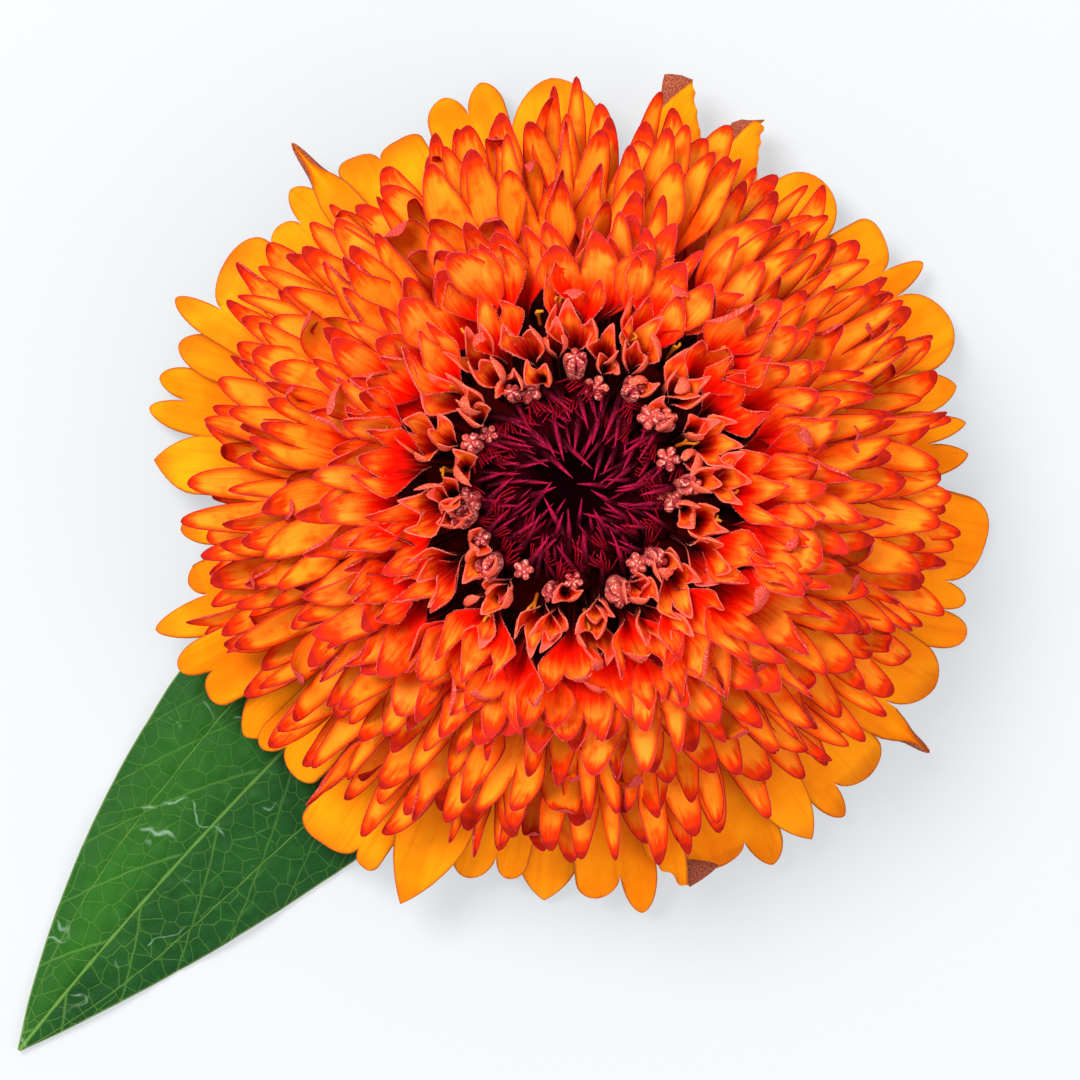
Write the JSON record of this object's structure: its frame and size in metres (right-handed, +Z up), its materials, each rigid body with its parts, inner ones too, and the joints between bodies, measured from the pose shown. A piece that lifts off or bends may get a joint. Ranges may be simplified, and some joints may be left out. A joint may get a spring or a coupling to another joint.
{
  "type": "zinnia flower",
  "caption": "Cut zinnia bloom lying face up: a skirt of golden ray petals, a domed crest of lobed orange florets, a maroon centre and a green leaf.",
  "frame": {"origin": "middle of the stem's cut face, on the surface that the flower rests on", "axes": "+Z up along the bloom's axis, out of its face; the leaf reaches out between -X and -Y"},
  "size_m": [0.0886, 0.0885, 0.0341],
  "materials": {
    "stem_green": "matte, ribbed and hairy",
    "leaf_green": "satin with paler veins",
    "golden_petal": "velvety matte",
    "orange_floret": "velvety matte",
    "salmon_floret": "velvety matte",
    "maroon_chaff": "dull, fringed"
  },
  "bodies": {
    "root": {"stem_and_bracts": "stem_green", "leaf": "leaf_green", "ray_petals": "golden_petal", "crest_florets": "orange_floret", "collar_florets": "salmon_floret", "centre_chaff": "maroon_chaff"}
  },
  "joints": []
}
